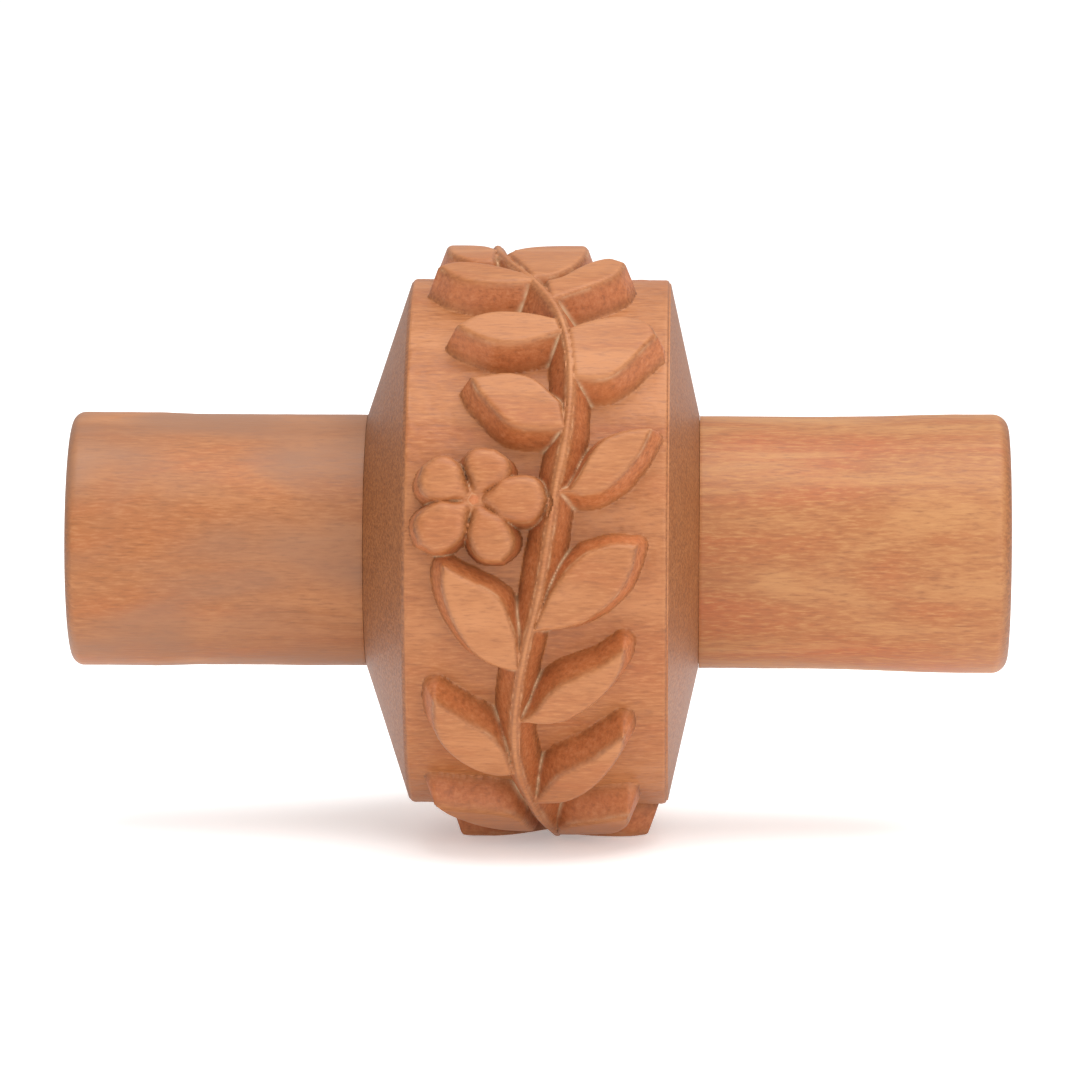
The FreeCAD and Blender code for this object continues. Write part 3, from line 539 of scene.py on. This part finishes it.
def wood(name, base, pale, red, dark, cast=None, seed=0.0, relief=False, streak=0.5):
    """Fine-grained orange hardwood with its fibres along X. Colours are linear."""
    k = Nodes(name)
    # broad cloudy figure, a few millimetres wide and drawn out along the grain
    broad = k.noise(k.scaled(55, 240, 240, loc=(seed, seed * 2, 0)), 1.0, 3, 0.55, 0.6)
    colour = k.ramp(broad, [(0.30, red), (0.50, base), (0.72, pale)])
    # growth bands: slightly tilted to the axis
    band = k.noise(k.scaled(26, 420, 150, turn=(0.5 + seed, 0.03, 0.05), loc=(0, seed, 3)), 1.0, 2, 0.5, 1.2)
    colour = k.mix(k.span(band, 0.52, 0.70, 0.0, streak), colour, pale)
    # short fibres and pores, a tenth of a millimetre wide and a millimetre or two long
    fibre = k.noise(k.scaled(900, 5200, 5200, loc=(seed, 1, 2)), 1.0, 3, 0.6)
    colour = k.mix(k.span(fibre, 0.50, 0.70, 0.0, 0.75), colour, pale)
    colour = k.mix(k.span(fibre, 0.47, 0.28, 0.0, 0.55), colour, dark)
    fleck = k.noise(k.scaled(420, 7600, 7600, loc=(4, seed, 2)), 1.0, 2, 0.5)
    colour = k.mix(k.span(fleck, 0.60, 0.74, 0.0, 0.35), colour, dark)
    # end grain where the surface faces along X: darker and speckled
    geo = k.t.nodes.new("ShaderNodeNewGeometry")
    split = k.t.nodes.new("ShaderNodeSeparateXYZ")
    vt = k.t.nodes.new("ShaderNodeVectorTransform")
    vt.vector_type = "NORMAL"
    vt.convert_from, vt.convert_to = "WORLD", "OBJECT"
    k.link(geo.outputs["Normal"], vt.inputs[0])
    k.link(vt.outputs[0], split.inputs[0])
    facing = k.math("ABSOLUTE", split.outputs["X"])
    end = k.span(facing, 0.30, 0.85, 0.0, 1.0)
    dots = k.noise(k.scaled(2600, 4200, 4200), 1.0, 2, 0.6)
    endcol = k.mix(k.span(dots, 0.40, 0.62), tuple(0.78 * c for c in dark), tuple(0.84 * c for c in base))
    colour = k.mix(k.math("MULTIPLY", end, 0.85), colour, endcol)
    height = k.math("ADD", k.math("MULTIPLY", fibre, 1.0), k.math("MULTIPLY", fleck, -0.6))
    if relief:
        wall = k.attribute("wall")
        # cut walls: richer orange, partly the cut end grain's own colour and partly painted shade and warm bounce light
        # of the recess, with fine saw marks running down them
        cut = k.noise(k.scaled(2400, 2400, 2400), 1.0, 3, 0.65)
        wall_grain_and_shade_colour = k.ramp(cut, [(0.30, (0.27, 0.075, 0.022)), (0.50, (0.44, 0.125, 0.036)), (0.74, (0.54, 0.200, 0.080))])
        colour = k.mix(k.math("MULTIPLY", wall, 0.66), colour, wall_grain_and_shade_colour)
        raised = k.attribute("raised")
        colour = k.mix(k.span(raised, 0.93, 1.0, 0.0, 0.10), colour, pale)
        # painted highlight: a pale line along the rounded arrises
        arris = k.math("MULTIPLY", k.span(raised, 0.80, 0.93, 0.0, 1.0), k.span(raised, 1.0, 0.94, 0.0, 1.0))
        burr_and_highlight_noise = k.noise(k.scaled(700, 700, 700), 1.0, 2, 0.5)
        colour = k.mix(k.math("MULTIPLY", arris, k.span(burr_and_highlight_noise, 0.50, 0.66, 0.0, 0.35)), colour, (0.52, 0.30, 0.16))
        # pale fuzz left standing where two cut walls meet
        fuzz = k.math("MULTIPLY", k.attribute("groove"), k.span(burr_and_highlight_noise, 0.34, 0.56, 0.25, 1.0))
        colour = k.mix(k.math("MULTIPLY", fuzz, 0.85), colour, (0.60, 0.42, 0.25))
        height = k.math("ADD", height, k.math("MULTIPLY", k.math("MULTIPLY", cut, wall), 1.6))
    if cast is not None:
        patch = k.noise(k.scaled(70, 130, 130, loc=(seed, 5, seed)), 1.0, 2, 0.5, 0.4)
        colour = k.mix(k.span(patch, 0.44, 0.66, 0.0, cast[1]), colour, cast[0])
    k.link(colour, k.bsdf.inputs["Base Color"])
    k.link(k.span(fibre, 0.3, 0.7, 0.46, 0.62), k.bsdf.inputs["Roughness"])
    k.bsdf.inputs["Specular IOR Level"].default_value = 0.42
    k.bsdf.inputs["Coat Weight"].default_value = 0.06
    k.bsdf.inputs["Coat Roughness"].default_value = 0.35
    n1 = k.bump(height, 0.35, 0.00006)
    k.link(n1, k.bsdf.inputs["Normal"])
    return k.m


def steel(name):
    k = Nodes(name)
    turn = k.noise(k.scaled(9000, 300, 300), 1.0, 3, 0.6)
    colour = k.ramp(turn, [(0.3, (0.36, 0.36, 0.37)), (0.7, (0.58, 0.58, 0.59))])
    k.link(colour, k.bsdf.inputs["Base Color"])
    k.bsdf.inputs["Metallic"].default_value = 1.0
    k.link(k.span(turn, 0.3, 0.7, 0.24, 0.42), k.bsdf.inputs["Roughness"])
    k.link(k.bump(turn, 0.2, 0.00002), k.bsdf.inputs["Normal"])
    return k.m


WHEEL = wood("wheel_hardwood", (0.330, 0.114, 0.032), (0.430, 0.172, 0.062), (0.325, 0.096, 0.024), (0.185, 0.054, 0.012),
             seed=0.0, relief=True, streak=0.42)
LEFT = wood("left_grip_hardwood", (0.315, 0.108, 0.029), (0.410, 0.168, 0.062), (0.345, 0.102, 0.024), (0.180, 0.060, 0.015),
            cast=((0.240, 0.112, 0.060), 0.75), seed=2.3, streak=0.42)
RIGHT = wood("right_grip_hardwood", (0.325, 0.113, 0.032), (0.430, 0.200, 0.070), (0.355, 0.096, 0.025), (0.190, 0.060, 0.016),
             seed=5.1, streak=0.75)
ROD = steel("drawn_steel_rod")

wheel = build_wheel()
wheel.data.materials.append(WHEEL)
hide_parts("pattern_wheel")
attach(wheel, "wheel")

grip_left = build_grip("handle_left_turned", -1)
grip_left.data.materials.append(LEFT)
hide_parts("handle_left")
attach(grip_left, "grips")

grip_right = build_grip("handle_right_turned", 1)
grip_right.data.materials.append(RIGHT)
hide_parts("handle_right")
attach(grip_right, "grips")

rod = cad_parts["spindle"]
for s in rod.material_slots:
    s.material = ROD
if not rod.material_slots:
    rod.data.materials.append(ROD)

# ------------------------------------------------------------------ floor, light, camera
bpy.context.scene.view_settings.view_transform = "Standard"
floor_z = CAD_BOX[0][2]
bpy.ops.mesh.primitive_plane_add(size=6.0, location=(0, 0, floor_z - 0.00002))
floor = bpy.context.object
floor.name = "floor"
fm = bpy.data.materials.new("pale_floor")
fm.use_nodes = True
fb = fm.node_tree.nodes["Principled BSDF"]
fb.inputs["Base Color"].default_value = (0.97, 0.97, 0.97, 1)
fb.inputs["Roughness"].default_value = 0.7
fb.inputs["Specular IOR Level"].default_value = 0.2
fb.inputs["Emission Color"].default_value = (1.0, 1.0, 1.0, 1)
fb.inputs["Emission Strength"].default_value = 0.30
floor.data.materials.append(fm)

world = bpy.context.scene.world or bpy.data.worlds.new("studio")
bpy.context.scene.world = world
world.use_nodes = True
bg = world.node_tree.nodes.get("Background")
bg.inputs["Color"].default_value = (1.0, 1.0, 1.0, 1)
bg.inputs["Strength"].default_value = 0.76


def soft_light(name, place, aim, size, watts, colour=(1, 1, 1)):
    d = bpy.data.lights.new(name, "AREA")
    d.shape = "RECTANGLE"
    d.size, d.size_y = size
    d.energy = watts
    d.color = colour
    o = bpy.data.objects.new(name, d)
    o.location = place
    o.rotation_euler = (Vector(aim) - Vector(place)).to_track_quat("-Z", "Y").to_euler()
    bpy.context.scene.collection.objects.link(o)
    return o


soft_light("overhead_softbox", (0.10, -0.10, 0.50), (0, 0, 0), (0.60, 0.45), 3.0)
soft_light("front_fill", (0.30, -0.65, 0.22), (0, 0, 0), (0.5, 0.35), 1.6)

cam_data = bpy.data.cameras.new("camera")
cam = bpy.data.objects.new("camera", cam_data)
bpy.context.scene.collection.objects.link(cam)
cam_data.sensor_width = 36.0
cam_data.lens = 246.7
DIST, ELEV = 0.5564, 7.0
side = 0.01173
aim = Vector((0.0, 0.0, 0.00008))
flat = math.sqrt(DIST ** 2 - side ** 2)
cam.location = Vector((side, -flat * math.cos(math.radians(ELEV)), flat * math.sin(math.radians(ELEV)))) + aim
q = (aim - cam.location).to_track_quat("-Z", "Y").to_matrix()
cam.rotation_euler = (q @ Matrix.Rotation(math.radians(0.2), 3, "Z")).to_euler()
cam_data.clip_start, cam_data.clip_end = 0.01, 50.0
bpy.context.scene.camera = cam
